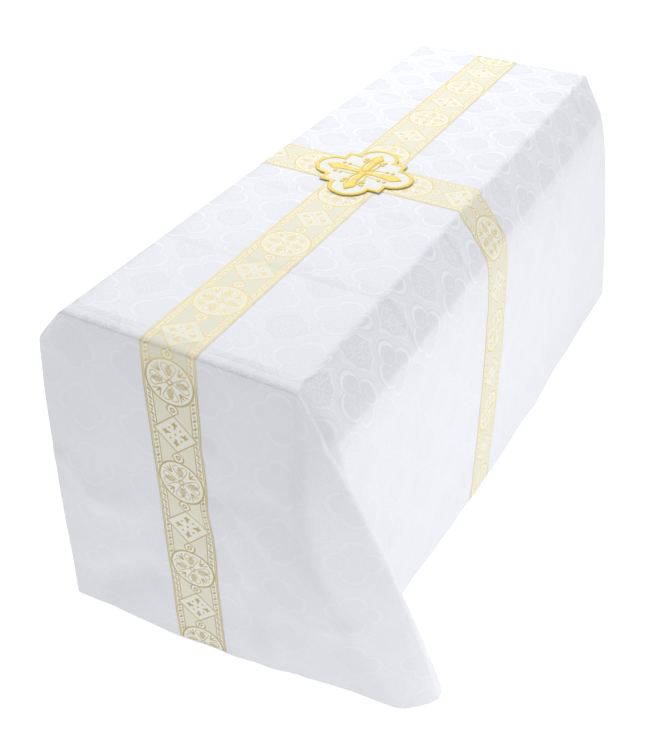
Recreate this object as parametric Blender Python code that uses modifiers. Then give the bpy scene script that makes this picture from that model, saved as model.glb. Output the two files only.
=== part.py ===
"""A funeral pall with crossed bands and an emblem, draped over a coffin on a plain bier.

X runs across the coffin, Y along it and Z up. The origin is on the floor under the coffin's middle.
The end nearest to a viewer is at -Y. All sizes are in metres.
"""

import math
from collections import namedtuple

import bmesh
import bpy
from mathutils import Vector

# The coffin's outline as the cloth's outer face shows it
TOP_HEIGHT = 0.908
LID_HALF_WIDTH = 0.281
LID_HALF_LENGTH = 0.922
SHOULDER_HALF_WIDTH = 0.370
SHOULDER_DROP = 0.1125
END_OUT = 0.923

# The cloth and what is sewn on it
CLOTH_THICKNESS = 0.002
HEM_LIFT = 0.001
TOUCHING_GAP = 0.0003
BAND_WIDTH = 0.134
BAND_THICKNESS = 0.001
BAND_HEM_LIFT = 0.006
LONG_BAND_X = -0.0145
CROSS_BAND_Y = -0.0575
EMBLEM_CENTRE = (-0.020, -0.053)
EMBLEM_HALF = (0.084, 0.086)
EMBLEM_REACH = (0.134, 0.139)
EMBLEM_LOBE = 0.053
LOBE_SEGMENTS = 12
EMBLEM_THICKNESS = 0.002

# The coffin and the bier under the cloth
LID_CLEARANCE = 0.011
LID_EDGE_RADIUS = 0.026
CORNER_RADIUS = 0.055
LID_RIM = 0.016
COFFIN_BASE_HEIGHT = 0.450
COFFIN_TAPER = (0.024, 0.036)
BIER_HALF = (0.290, 0.780)
BIER_EDGE_RADIUS = 0.012

# The rim where the flat top ends and its edge begins to turn down
RIM_X = LID_HALF_WIDTH - 0.028
RIM_Y = LID_HALF_LENGTH - 0.022

# Each level round the edge and down to the shoulder: its drop below the top, and how much of
# the way from the rim to the shoulder the long sides and the ends have gone outwards by then.
Level = namedtuple("Level", "drop side end")
SHOULDER_LEVELS = [
    Level(0.0000, 0.000, 0.000),
    Level(0.0022, 0.140, 0.560),
    Level(0.0095, 0.265, 0.850),
    Level(0.0260, 0.395, 0.960),
    Level(0.0620, 0.640, 0.990),
    Level(0.0960, 0.865, 1.000),
    Level(SHOULDER_DROP, 0.955, 1.000),
    Level(0.1400, 0.995, 1.000),
]
WALL_LEVELS = 9

# Where the grid's lines cross the lid's flat top, with the bands' edges among them
BAND_LINES = (-0.5, 0.0, 0.5)
ACROSS = [-RIM_X, -0.195, -0.135] + [LONG_BAND_X + f * BAND_WIDTH for f in BAND_LINES]
ACROSS += [0.110, 0.165, 0.210, RIM_X]
ALONG = [-RIM_Y, -0.815, -0.720, -0.610, -0.500, -0.390, -0.290, -0.200]
ALONG += [CROSS_BAND_Y + f * BAND_WIDTH for f in BAND_LINES] + [0.100, 0.230, 0.370, 0.510, 0.650, 0.780, RIM_Y]

# How far each wall stands out past the shoulder, at half height and at the floor, and how far
# the cloth there has slipped along the wall at the shoulder and at the floor.
Lean = namedtuple("Lean", "place middle floor slip_shoulder slip_floor")
FRONT_LEAN = [
    Lean(-RIM_X, 0.001, 0.003, 0.000, 0.000),
    Lean(-0.110, 0.001, 0.003, -0.004, 0.021),
    Lean(0.050, 0.000, -0.011, -0.002, 0.016),
    Lean(0.160, -0.002, -0.024, 0.000, 0.010),
    Lean(RIM_X, -0.001, -0.041, 0.000, 0.000),
]
RIGHT_LEAN = [
    Lean(-RIM_Y, 0.004, 0.006, 0.042, 0.100),
    Lean(-0.600, 0.003, 0.000, 0.010, 0.060),
    Lean(-0.350, 0.008, 0.009, 0.000, 0.020),
    Lean(-0.210, 0.013, 0.018, -0.012, 0.003),
    Lean(-0.060, 0.022, 0.028, -0.020, 0.000),
    Lean(0.250, 0.024, 0.035, -0.005, 0.000),
    Lean(0.610, 0.026, 0.041, 0.000, 0.000),
    Lean(RIM_Y, 0.017, 0.047, -0.065, 0.010),
]
BACK_LEAN = [
    Lean(-RIM_X, 0.008, 0.020, 0.000, 0.000),
    Lean(-0.080, 0.002, 0.006, 0.000, 0.000),
    Lean(0.090, 0.006, 0.016, 0.000, 0.000),
    Lean(RIM_X, 0.006, 0.014, 0.000, 0.000),
]
LEFT_LEAN = [
    Lean(-RIM_Y, 0.005, 0.014, 0.040, 0.110),
    Lean(-0.550, 0.010, 0.020, 0.010, 0.030),
    Lean(-0.150, 0.016, 0.030, 0.000, 0.000),
    Lean(0.250, 0.012, 0.018, 0.000, 0.000),
    Lean(0.600, 0.020, 0.036, 0.000, 0.000),
    Lean(RIM_Y, 0.014, 0.026, -0.058, -0.030),
]

# The spare cloth of each corner, in order round the hem: where it passes at the shoulder, at
# half height and at the floor.
Pass = namedtuple("Pass", "shoulder middle floor")
NEAR_RIGHT_EAR = [
    Pass((0.290, -0.923), (0.335, -0.918), (0.365, -0.864)),
    Pass((0.320, -0.922), (0.392, -0.907), (0.452, -0.852)),
    Pass((0.341, -0.919), (0.438, -0.889), (0.508, -0.843)),
    Pass((0.355, -0.913), (0.472, -0.871), (0.550, -0.816)),
    Pass((0.363, -0.905), (0.486, -0.853), (0.577, -0.780)),
    Pass((0.3665, -0.896), (0.474, -0.837), (0.566, -0.742)),
    Pass((0.3685, -0.887), (0.440, -0.832), (0.512, -0.738)),
    Pass((0.3692, -0.878), (0.403, -0.848), (0.445, -0.768)),
    Pass((0.3697, -0.868), (0.381, -0.848), (0.402, -0.786)),
]
FAR_RIGHT_EAR = [
    Pass((0.3685, 0.850), (0.390, 0.965), (0.4185, 1.000)),
    Pass((0.3660, 0.866), (0.392, 1.015), (0.4200, 1.085)),
    Pass((0.3620, 0.880), (0.391, 1.052), (0.4200, 1.155)),
    Pass((0.3560, 0.892), (0.385, 1.074), (0.4150, 1.198)),
    Pass((0.3480, 0.902), (0.373, 1.078), (0.3990, 1.214)),
    Pass((0.3380, 0.910), (0.357, 1.062), (0.3770, 1.192)),
    Pass((0.3260, 0.916), (0.342, 1.020), (0.3540, 1.115)),
    Pass((0.3120, 0.920), (0.328, 0.972), (0.3360, 1.025)),
    Pass((0.2960, 0.922), (0.309, 0.945), (0.3160, 0.962)),
    Pass((0.2760, 0.923), (0.283, 0.936), (0.2880, 0.946)),
]
FAR_LEFT_EAR = [
    Pass((-0.285, 0.923), (-0.300, 0.936), (-0.312, 0.955)),
    Pass((-0.315, 0.921), (-0.348, 0.950), (-0.372, 0.988)),
    Pass((-0.336, 0.915), (-0.392, 0.972), (-0.442, 1.038)),
    Pass((-0.350, 0.906), (-0.424, 0.982), (-0.494, 1.070)),
    Pass((-0.360, 0.893), (-0.441, 0.968), (-0.522, 1.058)),
    Pass((-0.3655, 0.879), (-0.436, 0.938), (-0.512, 1.014)),
    Pass((-0.3680, 0.866), (-0.414, 0.908), (-0.462, 0.955)),
    Pass((-0.3692, 0.854), (-0.394, 0.880), (-0.417, 0.902)),
]
NEAR_LEFT_TUCK = [
    Pass((-0.3697, -0.876), (-0.3800, -0.846), (-0.3935, -0.812)),
    Pass((-0.3699, -0.882), (-0.3900, -0.832), (-0.4130, -0.782)),
    Pass((-0.3702, -0.888), (-0.4050, -0.795), (-0.4450, -0.715)),
    Pass((-0.3705, -0.894), (-0.4170, -0.762), (-0.4680, -0.664)),
    Pass((-0.3710, -0.899), (-0.4250, -0.768), (-0.4810, -0.672)),
    Pass((-0.3714, -0.904), (-0.4180, -0.808), (-0.4660, -0.735)),
    Pass((-0.3715, -0.910), (-0.4020, -0.868), (-0.4320, -0.822)),
    Pass((-0.3710, -0.916), (-0.3860, -0.908), (-0.3960, -0.908)),
    Pass((-0.3670, -0.9215), (-0.3755, -0.9250), (-0.3765, -0.9325)),
    Pass((-0.3540, -0.9230), (-0.3600, -0.9255), (-0.3580, -0.9340)),
    Pass((-0.3100, -0.9230), (-0.3100, -0.9245), (-0.3090, -0.9290)),
]
STEPS_A_PASS = 2

# Soft ridges and troughs that run down a wall: from one place and drop to another.
Crease = namedtuple("Crease", "wall start end width height")
CREASES = [
    Crease("front", (0.115, 0.290), (0.345, 0.680), 0.030, 0.009),
    Crease("front", (0.075, 0.400), (0.190, 0.760), 0.032, -0.008),
    Crease("front", (-0.350, 0.420), (-0.060, 0.650), 0.034, 0.008),
    Crease("front", (-0.330, 0.600), (-0.120, 0.790), 0.040, -0.007),
    Crease("right", (-0.560, 0.130), (-0.520, 0.480), 0.040, -0.005),
    Crease("right", (-0.735, 0.230), (-0.690, 0.560), 0.040, -0.006),
    Crease("right", (0.420, 0.250), (0.400, 0.900), 0.070, 0.007),
    Crease("back", (-0.060, 0.200), (-0.110, 0.900), 0.060, -0.008),
    Crease("left", (-0.350, 0.200), (-0.300, 0.900), 0.070, -0.009),
    Crease("left", (0.380, 0.250), (0.430, 0.900), 0.080, -0.010),
]

Column = namedtuple("Column", "wall rim shoulder middle floor")
Wall = namedtuple("Wall", "name places lean point shoulder_out rim_out")


def clear_scene():
    for item in list(bpy.data.objects):
        bpy.data.objects.remove(item, do_unlink=True)


def new_collection(name):
    collection = bpy.data.collections.new(name)
    bpy.context.scene.collection.children.link(collection)
    return collection


def new_material(name, colour, roughness, metallic=0.0):
    material = bpy.data.materials.new(name)
    material.use_nodes = True
    shader = material.node_tree.nodes["Principled BSDF"]
    shader.inputs["Base Color"].default_value = (*colour, 1.0)
    shader.inputs["Roughness"].default_value = roughness
    shader.inputs["Metallic"].default_value = metallic
    return material


def add_object(name, bm, material, collection):
    mesh = bpy.data.meshes.new(name)
    bm.to_mesh(mesh)
    bm.free()
    mesh.materials.append(material)
    mesh.shade_smooth()
    mesh.set_sharp_from_angle(angle=math.radians(40))
    item = bpy.data.objects.new(name, mesh)
    collection.objects.link(item)
    return item


def between(a, b, share):
    return tuple(p + (q - p) * share for p, q in zip(a, b))


def read_lean(rows, place):
    """The lean's row at a place along its wall, eased between the rows on both sides of it."""
    for low, high in zip(rows, rows[1:]):
        if place <= high.place:
            break
    share = min(1.0, max(0.0, (place - low.place) / (high.place - low.place)))
    return Lean(*between(low, high, share * share * (3 - 2 * share)))


def wall_columns(wall):
    """The cloth's straight columns down one wall, in the order that runs round the hem."""
    columns = []
    for place in wall.places:
        lean = read_lean(wall.lean, place)
        halfway = (lean.slip_shoulder + lean.slip_floor) / 2
        columns.append(
            Column(
                wall.name,
                wall.point(place, wall.rim_out),
                wall.point(place + lean.slip_shoulder, wall.shoulder_out),
                wall.point(place + halfway, wall.shoulder_out + lean.middle),
                wall.point(place + lean.slip_floor, wall.shoulder_out + lean.floor),
            )
        )
    return columns


def all_walls():
    def front(place, out):
        return (place, -out)

    def right(place, out):
        return (out, place)

    def back(place, out):
        return (place, out)

    def left(place, out):
        return (-out, place)

    return [
        Wall("front", ACROSS, FRONT_LEAN, front, END_OUT, RIM_Y),
        Wall("right", ALONG, RIGHT_LEAN, right, SHOULDER_HALF_WIDTH, RIM_X),
        Wall("back", ACROSS[::-1], BACK_LEAN, back, END_OUT, RIM_Y),
        Wall("left", ALONG[::-1], LEFT_LEAN, left, SHOULDER_HALF_WIDTH, RIM_X),
    ]


def curve_through(a, b, c, d, share):
    """A point between b and c on the smooth curve through four points."""
    return tuple(
        0.5
        * (
            2 * q
            + (r - p) * share
            + (2 * p - 5 * q + 4 * r - s) * share**2
            + (3 * q - p - 3 * r + s) * share**3
        )
        for p, q, r, s in zip(a, b, c, d)
    )


def corner_columns(before, passes, after, tip):
    """The columns of one corner's spare cloth, between the last two columns of the wall before it
    and the first two of the wall after it. Those past the tip belong to the second wall."""
    rim = before[-1].rim
    rows = [before[-2], before[-1]]
    rows += [Column(None, rim, p.shoulder, p.middle, p.floor) for p in passes]
    rows += [after[0], after[1]]
    columns = []
    for i in range(1, len(rows) - 2):
        for step in range(STEPS_A_PASS):
            if i == 1 and step == 0:
                continue
            share = step / STEPS_A_PASS
            places = [
                curve_through(*(getattr(row, height) for row in rows[i - 1 : i + 3]), share)
                for height in ("shoulder", "middle", "floor")
            ]
            wall = before[-1].wall if i - 1 + share < tip else after[0].wall
            columns.append(Column(wall, rim, *places))
    return columns


def hem_columns():
    """All the columns round the cloth, from the front's left end and back to it."""
    front, right, back, left = (wall_columns(wall) for wall in all_walls())
    ring = front + corner_columns(front, NEAR_RIGHT_EAR, right, 5)
    ring += right + corner_columns(right, FAR_RIGHT_EAR, back, 5)
    ring += back + corner_columns(back, FAR_LEFT_EAR, left, 5)
    ring += left + corner_columns(left, NEAR_LEFT_TUCK, front, 9)
    return ring


def all_levels():
    last = SHOULDER_LEVELS[-1]
    drop = TOP_HEIGHT - HEM_LIFT - last.drop
    return SHOULDER_LEVELS + [
        Level(last.drop + drop * i / WALL_LEVELS, 1.0, 1.0) for i in range(1, WALL_LEVELS + 1)
    ]


def crease_depth(wall, place, drop):
    """How far the creases push the cloth out at a place on its wall."""
    depth = 0.0
    for crease in CREASES:
        if crease.wall != wall:
            continue
        start, end, here = Vector(crease.start), Vector(crease.end), Vector((place, drop))
        run = end - start
        share = min(1.0, max(0.0, (here - start).dot(run) / run.length_squared))
        away = (here - start - run * share).length / crease.width
        depth += crease.height * math.exp(-away * away)
    return depth


def column_point(column, level):
    """The cloth's outer face where a column crosses a level."""
    if level.drop <= SHOULDER_DROP:
        x = column.rim[0] + (column.shoulder[0] - column.rim[0]) * level.side
        y = column.rim[1] + (column.shoulder[1] - column.rim[1]) * level.end
        return Vector((x, y, TOP_HEIGHT - level.drop))
    share = (level.drop - SHOULDER_DROP) / (TOP_HEIGHT - SHOULDER_DROP)
    weights = ((1 - share) * (1 - 2 * share), 4 * share * (1 - share), share * (2 * share - 1))
    keys = (column.shoulder, column.middle, column.floor)
    x, y = (sum(w * key[axis] for w, key in zip(weights, keys)) for axis in (0, 1))
    if level.side < 1.0:
        x = column.rim[0] + (x - column.rim[0]) * level.side
    sign = {"front": (0, -1), "right": (1, 0), "back": (0, 1), "left": (-1, 0)}[column.wall]
    place = x if sign[0] == 0 else y
    depth = crease_depth(column.wall, place, level.drop)
    return Vector((x + sign[0] * depth, y + sign[1] * depth, TOP_HEIGHT - level.drop))


def cloth_skin():
    """The cloth's outer face as one open sheet: the grid on the lid, then ring after ring down
    to the hem. Returns the bmesh, the top's grid and the rings of its points."""
    bm = bmesh.new()
    top = [[bm.verts.new((x, y, TOP_HEIGHT)) for y in ALONG] for x in ACROSS]
    for i in range(len(ACROSS) - 1):
        for j in range(len(ALONG) - 1):
            bm.faces.new((top[i][j], top[i + 1][j], top[i + 1][j + 1], top[i][j + 1]))
    at_rim = {
        (round(x, 5), round(y, 5)): top[i][j] for i, x in enumerate(ACROSS) for j, y in enumerate(ALONG)
    }
    columns = hem_columns()
    levels = all_levels()
    rings = [[at_rim[round(c.rim[0], 5), round(c.rim[1], 5)] for c in columns]]
    rings += [[bm.verts.new(column_point(c, level)) for c in columns] for level in levels[1:]]
    for upper, lower in zip(rings, rings[1:]):
        for k in range(len(columns)):
            n = (k + 1) % len(columns)
            face = [upper[k], lower[k], lower[n], upper[n]]
            bm.faces.new(face if upper[k] is not upper[n] else face[:3])
    bmesh.ops.triangulate(bm, faces=bm.faces[:], quad_method="SHORT_EDGE")
    bm.normal_update()
    return bm, top, rings, columns


def make_cloth(material, collection):
    bm, *_ = cloth_skin()
    cloth = add_object("pall_cloth", bm, material, collection)
    wall = cloth.modifiers.new("thickness", "SOLIDIFY")
    wall.thickness = CLOTH_THICKNESS
    wall.offset = -1.0
    return cloth


def make_band(name, strip, material, collection):
    """A woven band on the cloth's outer face: the faces of one strip of the cloth's own sheet,
    a gap further out, so that the two can't cross. The strip gives its rows of points."""
    bm, top, rings, columns = cloth_skin()
    rows = strip(top, rings, columns)
    places = {v: v.co + v.normal * TOUCHING_GAP for row in rows for v in row}
    spare = [f for f in bm.faces if not all(v in places for v in f.verts)]
    bmesh.ops.delete(bm, geom=spare, context="FACES")
    for v, place in places.items():
        v.co = place
    for hem, above in (rows[:2], rows[:-3:-1]):
        for low, high in zip(hem, above):
            if low.co.z < BAND_HEM_LIFT:
                low.co += (high.co - low.co) * (BAND_HEM_LIFT - low.co.z) / (high.co.z - low.co.z)
    band = add_object(name, bm, material, collection)
    wall = band.modifiers.new("thickness", "SOLIDIFY")
    wall.thickness = BAND_THICKNESS
    wall.offset = 1.0
    return band


def index_of(columns, wall, place):
    """The number of the wall's column that starts at a place on the rim."""
    axis = 0 if wall in ("front", "back") else 1
    for k, column in enumerate(columns):
        if column.wall == wall and abs(column.rim[axis] - place) < 1e-6:
            return k
    raise ValueError(f"no column at {place} on the {wall} wall")


def long_strip(top, rings, columns):
    """Rows of points from the front hem over the lid to the back hem."""
    places = [LONG_BAND_X + f * BAND_WIDTH for f in BAND_LINES]
    front = [index_of(columns, "front", p) for p in places]
    back = [index_of(columns, "back", p) for p in places]
    lines = [ACROSS.index(p) for p in places]
    rows = [[ring[k] for k in front] for ring in rings[:0:-1]]
    rows += [[top[i][j] for i in lines] for j in range(len(ALONG))]
    return rows + [[ring[k] for k in back] for ring in rings[1:]]


def half_cross_strip(wall):
    """Rows of points from the long band's edge, over one long edge of the lid, to the hem."""
    side = 1 if wall == "right" else -1

    def strip(top, rings, columns):
        places = [CROSS_BAND_Y + f * BAND_WIDTH for f in BAND_LINES]
        lines = [ALONG.index(p) for p in places]
        edge = LONG_BAND_X + side * BAND_WIDTH / 2
        start = ACROSS.index(edge)
        on_top = range(start, len(ACROSS)) if side > 0 else range(start, -1, -1)
        rows = [[top[i][j] for j in lines] for i in on_top]
        for v in rows[0]:
            v.co.x += side * 2 * TOUCHING_GAP
        down = [index_of(columns, wall, p) for p in places]
        rows += [[ring[k] for k in down] for ring in rings[1:]]
        return rows[::-1] if side > 0 else rows

    return strip


def emblem_outline():
    """A square turned with the bands, with a round lobe on the middle of each of its sides."""
    points = []
    for quarter in range(4):
        turn = quarter * math.pi / 2
        out, side = (EMBLEM_HALF[quarter % 2], EMBLEM_HALF[1 - quarter % 2])
        centre = EMBLEM_REACH[quarter % 2] - EMBLEM_LOBE
        spread = math.acos((out - centre) / EMBLEM_LOBE)
        angles = [spread * (2 * s / LOBE_SEGMENTS - 1) for s in range(LOBE_SEGMENTS + 1)]
        lobe = [(centre + EMBLEM_LOBE * math.cos(a), EMBLEM_LOBE * math.sin(a)) for a in angles]
        for x, y in lobe + [(out, side)]:
            points.append((x * math.cos(turn) - y * math.sin(turn), x * math.sin(turn) + y * math.cos(turn)))
    return points


def make_emblem(material, collection):
    """The emblem lies on the bands, so its underside is a band's thickness above the cloth."""
    curve = bpy.data.curves.new("emblem", "CURVE")
    curve.dimensions = "2D"
    curve.fill_mode = "BOTH"
    curve.extrude = EMBLEM_THICKNESS / 2
    outline = emblem_outline()
    spline = curve.splines.new("POLY")
    spline.points.add(len(outline) - 1)
    for place, (x, y) in zip(spline.points, outline):
        place.co = (x, y, 0.0, 1.0)
    spline.use_cyclic_u = True
    curve.materials.append(material)
    emblem = bpy.data.objects.new("emblem", curve)
    on_bands = TOP_HEIGHT + 2 * TOUCHING_GAP + BAND_THICKNESS
    emblem.location = (*EMBLEM_CENTRE, on_bands + EMBLEM_THICKNESS / 2)
    collection.objects.link(emblem)
    return emblem


def rounded_box(bottom, top, bottom_height, top_height, corner_radius):
    """A box with upright corners rounded, whose half sizes change from its bottom to its top."""
    bm = bmesh.new()
    bmesh.ops.create_cube(bm, size=2.0)
    for v in bm.verts:
        half, height = (top, top_height) if v.co.z > 0 else (bottom, bottom_height)
        v.co = Vector((v.co.x * half[0], v.co.y * half[1], height))
    uprights = [e for e in bm.edges if abs(e.verts[0].co.z - e.verts[1].co.z) > 1e-4]
    bmesh.ops.bevel(
        bm, geom=uprights, affect="EDGES", offset=corner_radius, segments=4, profile=0.5, material=-1
    )
    return bm


def make_lid(material, collection):
    """The lid's slopes and its flat top lie just under the cloth, and its edges are rounded."""
    top = TOP_HEIGHT - CLOTH_THICKNESS - TOUCHING_GAP
    shoulder = TOP_HEIGHT - SHOULDER_DROP
    rim_half = (SHOULDER_HALF_WIDTH - LID_CLEARANCE, END_OUT - LID_CLEARANCE)
    bm = rounded_box(rim_half, rim_half, shoulder - LID_RIM, top, CORNER_RADIUS)
    bmesh.ops.bisect_plane(
        bm, geom=bm.verts[:] + bm.edges[:] + bm.faces[:], plane_co=(0, 0, shoulder), plane_no=(0, 0, 1)
    )
    edges = [e for e in bm.edges if all(abs(v.co.z - top) < 1e-5 for v in e.verts)]
    for v in {v for e in edges for v in e.verts}:
        v.co.x *= (LID_HALF_WIDTH - LID_CLEARANCE) / rim_half[0]
    bmesh.ops.bevel(
        bm, geom=edges, affect="EDGES", offset=LID_EDGE_RADIUS, segments=3, profile=0.5, material=-1
    )
    return add_object("coffin_lid", bm, material, collection)


def make_coffin_body(material, collection):
    rim_height = TOP_HEIGHT - SHOULDER_DROP - LID_RIM - TOUCHING_GAP
    top = (SHOULDER_HALF_WIDTH - LID_CLEARANCE - 0.004, END_OUT - LID_CLEARANCE - 0.004)
    bottom = (top[0] - COFFIN_TAPER[0], top[1] - COFFIN_TAPER[1])
    bm = rounded_box(bottom, top, COFFIN_BASE_HEIGHT, rim_height, CORNER_RADIUS)
    return add_object("coffin_body", bm, material, collection)


def make_bier(material, collection):
    height = COFFIN_BASE_HEIGHT - TOUCHING_GAP
    bm = rounded_box(BIER_HALF, BIER_HALF, 0.0, height, BIER_EDGE_RADIUS)
    return add_object("bier", bm, material, collection)


def main():
    clear_scene()
    parts = new_collection("coffin_drape")
    damask = new_material("white damask", (0.86, 0.87, 0.90), 0.55)
    orphrey = new_material("ivory and gold band", (0.80, 0.74, 0.56), 0.50)
    stitching = new_material("gold embroidery", (0.78, 0.58, 0.16), 0.40)
    oak = new_material("plain oak", (0.42, 0.26, 0.13), 0.45)
    stand = new_material("painted stand", (0.10, 0.09, 0.09), 0.60)
    make_cloth(damask, parts)
    make_band("long_band", long_strip, orphrey, parts)
    make_band("cross_band_right", half_cross_strip("right"), orphrey, parts)
    make_band("cross_band_left", half_cross_strip("left"), orphrey, parts)
    make_emblem(stitching, parts)
    make_lid(oak, parts)
    make_coffin_body(oak, parts)
    make_bier(stand, parts)


main()
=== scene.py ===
import math
from collections import namedtuple

import bmesh
import bpy
from mathutils import Matrix, Vector, noise


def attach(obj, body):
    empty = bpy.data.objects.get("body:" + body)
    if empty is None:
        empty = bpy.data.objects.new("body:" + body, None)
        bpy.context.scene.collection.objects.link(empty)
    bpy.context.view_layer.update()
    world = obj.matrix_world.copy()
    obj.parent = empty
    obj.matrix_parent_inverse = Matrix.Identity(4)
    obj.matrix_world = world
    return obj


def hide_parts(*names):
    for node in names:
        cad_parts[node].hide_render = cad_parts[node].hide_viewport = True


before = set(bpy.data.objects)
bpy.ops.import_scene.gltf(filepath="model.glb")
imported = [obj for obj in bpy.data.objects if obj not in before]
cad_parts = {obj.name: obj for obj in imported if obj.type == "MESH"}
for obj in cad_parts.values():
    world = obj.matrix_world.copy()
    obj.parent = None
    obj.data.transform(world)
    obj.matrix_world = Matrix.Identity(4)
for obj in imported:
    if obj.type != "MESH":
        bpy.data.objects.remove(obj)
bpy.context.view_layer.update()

# The bier is a plain closed stand of folded steel sheet, welded at its corners. The coffin rests
# on it. It is painted black, and the paint is a little uneven and dusty.


class Wire:
    """A value in a material's nodes. Sums with numbers or other wires add their Math nodes."""

    def __init__(self, socket):
        self.socket = socket

    def node(self, kind, settings=None, inputs=None, output=0):
        """Adds a node: its settings come first, then the values or links of its sockets."""
        item = self.socket.id_data.nodes.new("ShaderNode" + kind)
        for name, value in (settings or {}).items():
            setattr(item, name, value)
        for name, value in (inputs or {}).items():
            if isinstance(value, Wire):
                self.socket.id_data.links.new(value.socket, item.inputs[name])
            else:
                item.inputs[name].default_value = value
        return Wire(item.outputs[output])

    def math(self, operation, *values, clamp=False):
        settings = {"operation": operation, "use_clamp": clamp}
        return self.node("Math", settings, dict(enumerate(values)))

    def __add__(self, other):
        return self.math("ADD", self, other)

    __radd__ = __add__

    def __sub__(self, other):
        return self.math("SUBTRACT", self, other)

    def __rsub__(self, other):
        return self.math("SUBTRACT", other, self)

    def __mul__(self, other):
        return self.math("MULTIPLY", self, other)

    __rmul__ = __mul__

    def __truediv__(self, other):
        return self.math("DIVIDE", self, other)

    def __abs__(self):
        return self.math("ABSOLUTE", self)

    def below(self, edge, soft):
        """1 where the value is under the edge and 0 over it, with a soft step between."""
        return self.math("MULTIPLY_ADD", self, -1 / soft, edge / soft + 0.5, clamp=True)

    def on_line(self, place, half, soft):
        """1 where the value is within half a line's width of a place."""
        return abs(self - place).below(half, soft)

    def split(self):
        """The first two numbers of a vector."""
        both = self.node("SeparateXYZ", None, {0: self}).socket.node.outputs
        return Wire(both[0]), Wire(both[1])

    def grain(self, scale, detail=2.0, stretch=(1, 1, 1)):
        """Noise from 0 to 1 over a place, drawn out along the axes."""
        place = self.node("Mapping", None, {"Vector": self, "Scale": stretch})
        return self.node("TexNoise", None, {"Vector": place, "Scale": scale, "Detail": detail})

    def tint(self, low, high):
        """A colour between two by this value's share."""
        settings = {"data_type": "RGBA", "clamp_factor": True}
        return self.node("Mix", settings, {0: self, 6: (*low, 1), 7: (*high, 1)}, 2)


def either(first, *others):
    """The highest of several masks."""
    for other in others:
        first = first.math("MAXIMUM", first, other)
    return first


def new_finish(name, coordinates="Object", **constants):
    """A material with its shader's constants set. Returns it, its shader's sockets and the place."""
    material = bpy.data.materials.new(name)
    material.use_nodes = True
    shader = material.node_tree.nodes["Principled BSDF"]
    for socket, value in constants.items():
        shader.inputs[socket.replace("_", " ")].default_value = value
    source = material.node_tree.nodes.new("ShaderNodeTexCoord")
    return material, shader.inputs, Wire(source.outputs[coordinates])


def plug(inputs, relief=None, **wires):
    """Links wires to a shader's sockets. relief is a height in metres for a Bump node."""
    for socket, wire in wires.items():
        wire.socket.id_data.links.new(wire.socket, inputs[socket.replace("_", " ")])
    if relief is not None:
        bump = relief.node("Bump", None, {"Strength": 1.0, "Distance": 1.0, "Height": relief})
        relief.socket.id_data.links.new(bump.socket, inputs["Normal"])


black_paint, inputs, place = new_finish("black paint", Specular_IOR_Level=0.4)
mottle = place.grain(6.0, 5.0)
peel = place.grain(420.0, 1.0)
dust = place.grain(2.2, 4.0, (1, 1, 0.4))
plug(
    inputs,
    Base_Color=(mottle * 0.6 + dust * 0.4).tint((0.012, 0.011, 0.012), (0.045, 0.043, 0.042)),
    Roughness=0.42 + 0.25 * dust + 0.05 * mottle,
    relief=peel * 0.00004 + mottle * 0.0002,
)
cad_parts["bier"].material_slots[0].material = black_paint

# The coffin is a box of oak boards with a slope-sided lid screwed down on it. The boards run along
# it. They are stained, then varnished to a satin sheen, and the varnish is worn along the grain.

OAK_DARK, OAK_PALE = (0.16, 0.075, 0.03), (0.46, 0.27, 0.12)

oak, inputs, place = new_finish("varnished oak", Coat_Weight=0.25, Coat_Roughness=0.25)
rings = place.grain(3.0, 3.0, (9, 0.5, 9))
pores = place.grain(90.0, 3.0, (4, 0.12, 4))
stain = place.grain(2.0, 4.0)
figure = (rings * 9.0).math("SINE", rings * 26.0) * 0.5 + 0.5
plug(
    inputs,
    Base_Color=(figure * 0.45 + pores * 0.35 + stain * 0.3).tint(OAK_DARK, OAK_PALE),
    Roughness=0.32 + 0.2 * pores + 0.1 * stain,
    relief=pores * 0.00025 + figure * 0.0001,
)
for board in ("coffin_lid", "coffin_body"):
    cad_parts[board].material_slots[0].material = oak

# The pall is one wide cloth of white silk-like damask, cut with rounded corners and hemmed all
# round. It lies flat on the lid, turns over its edges, falls to the floor, and the spare cloth of
# each corner hangs out as a fold. Its sizes are those of the coffin that it takes its shape from.

TOP_HEIGHT = 0.908
LID_HALF_WIDTH, LID_HALF_LENGTH = 0.281, 0.922
SHOULDER_HALF_WIDTH, SHOULDER_DROP, END_OUT = 0.370, 0.1125, 0.923
RIM_X, RIM_Y = LID_HALF_WIDTH - 0.012, LID_HALF_LENGTH - 0.022
CLOTH_THICKNESS = 0.0014
HEM_LIFT = 0.001
BAND_WIDTH, LONG_BAND_X, CROSS_BAND_Y = 0.134, -0.0145, -0.0575
CUT_WIDTH, CUT_LENGTH = 2.44, 3.66

# How the cloth turns over the lid's edges. At each drop below the top it has come this share of
# the way from the rim to the shoulder, sideways (side) and lengthwise (end). Below the shoulder,
# side is the share of the wall's stand-out from the rim, which rounds the shoulder off.
Level = namedtuple("Level", "drop side end")
EDGE_LEVELS = [
    Level(0.0000, 0.000, 0.000),
    Level(0.0020, 0.085, 0.560),
    Level(0.0055, 0.130, 0.930),
    Level(0.0090, 0.172, 0.998),
    Level(0.0250, 0.318, 1.000),
    Level(0.0620, 0.615, 1.000),
    Level(0.0960, 0.860, 1.000),
    Level(SHOULDER_DROP, 0.922, 1.000),
    Level(0.1400, 0.962, 1.000),
    Level(0.1850, 0.988, 1.000),
    Level(0.2400, 1.000, 1.000),
]
# Rows of points for each edge level, and from the last edge level down to the hem.
EDGE_STEPS = 3
WALL_STEPS = 46

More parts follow.
